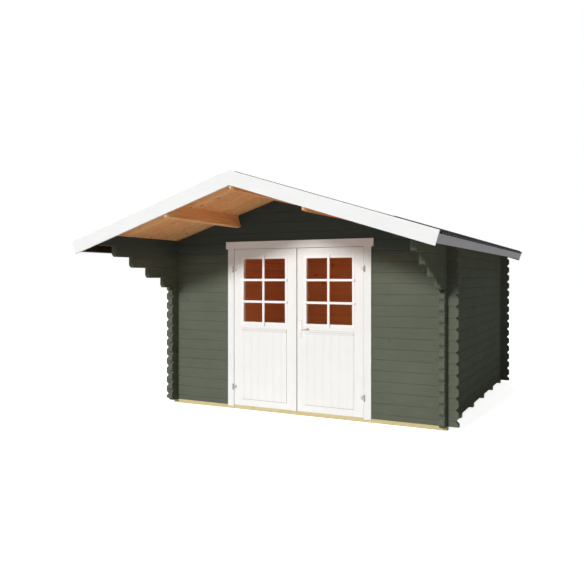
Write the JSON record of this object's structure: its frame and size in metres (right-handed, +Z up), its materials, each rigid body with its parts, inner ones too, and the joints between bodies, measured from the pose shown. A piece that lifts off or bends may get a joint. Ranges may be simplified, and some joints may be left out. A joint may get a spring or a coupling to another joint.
{
  "type": "log cabin",
  "caption": "log cabin with crossed corner logs, stepped corbel logs under a deep front canopy, a pitched felt roof and a glazed double door",
  "frame": {"origin": "on the ground under the middle of the roof's plan", "axes": "+X to the right seen from the front, +Y to the back along the ridge, +Z up"},
  "size_m": [4.14, 5.18, 2.6727],
  "materials": {
    "painted_log": "satin opaque grey-green paint",
    "white_wood": "satin warm white paint",
    "stained_wood": "clear-stained spruce",
    "plain_wood": "planed spruce",
    "bearer_wood": "sawn spruce, pale yellow",
    "roofing_felt": "mineral bitumen felt",
    "pane_glass": "clear float glass",
    "hinge_steel": "zinc-plated, satin",
    "handle_steel": "satin"
  },
  "bodies": {
    "cabin": {"left_wall_even_logs": "painted_log", "left_wall_odd_logs": "painted_log", "right_wall_even_logs": "painted_log", "right_wall_odd_logs": "painted_log", "rear_wall_even_logs": "painted_log", "rear_wall_odd_logs": "painted_log", "front_left_even_logs": "painted_log", "front_left_odd_logs": "painted_log", "front_right_even_logs": "painted_log", "front_right_odd_logs": "painted_log", "front_gable_even_logs": "painted_log", "front_gable_odd_logs": "painted_log", "rear_gable_even_logs": "painted_log", "rear_gable_odd_logs": "painted_log", "floor_bearers": "bearer_wood", "floor_boards": "plain_wood", "ridge_purlin": "stained_wood", "side_purlins": "stained_wood", "left_roof_boards": "stained_wood", "right_roof_boards": "stained_wood", "left_roof_felt": "roofing_felt", "right_roof_felt": "roofing_felt", "left_fascia_boards": "white_wood", "right_fascia_boards": "white_wood", "eaves_boards": "white_wood", "side_jambs": "white_wood", "head_jamb": "white_wood", "threshold": "white_wood", "door_stops": "white_wood", "side_casings": "white_wood", "head_casing": "white_wood", "frame_hinges": "hinge_steel"},
    "left_leaf": {"left_leaf_frame": "white_wood", "left_leaf_beads": "white_wood", "left_leaf_panel": "white_wood", "left_leaf_glass": "pane_glass", "left_leaf_hinges": "hinge_steel", "cover_strip": "white_wood"},
    "right_leaf": {"right_leaf_frame": "white_wood", "right_leaf_beads": "white_wood", "right_leaf_panel": "white_wood", "right_leaf_glass": "pane_glass", "right_leaf_hinges": "hinge_steel", "handle_plates": "handle_steel"},
    "lever": {"door_lever": "handle_steel"}
  },
  "joints": [
    {"name": "left_leaf_hinge", "type": "hinge", "parent": "cabin", "child": "left_leaf", "pos_m": [-0.86, -1.138, 0.256], "axis": [0, 0, -1], "range_deg": [0, 110]},
    {"name": "right_leaf_hinge", "type": "hinge", "parent": "cabin", "child": "right_leaf", "pos_m": [0.86, -1.138, 0.256], "axis": [0, 0, 1], "range_deg": [0, 110]},
    {"name": "lever_turn", "type": "hinge", "parent": "right_leaf", "child": "lever", "pos_m": [0.062, -1.122, 1.03], "axis": [0, 1, 0], "range_deg": [0, 40], "stiffness_Nm_per_rad": 1.5, "springref_deg": -20.05}
  ]
}
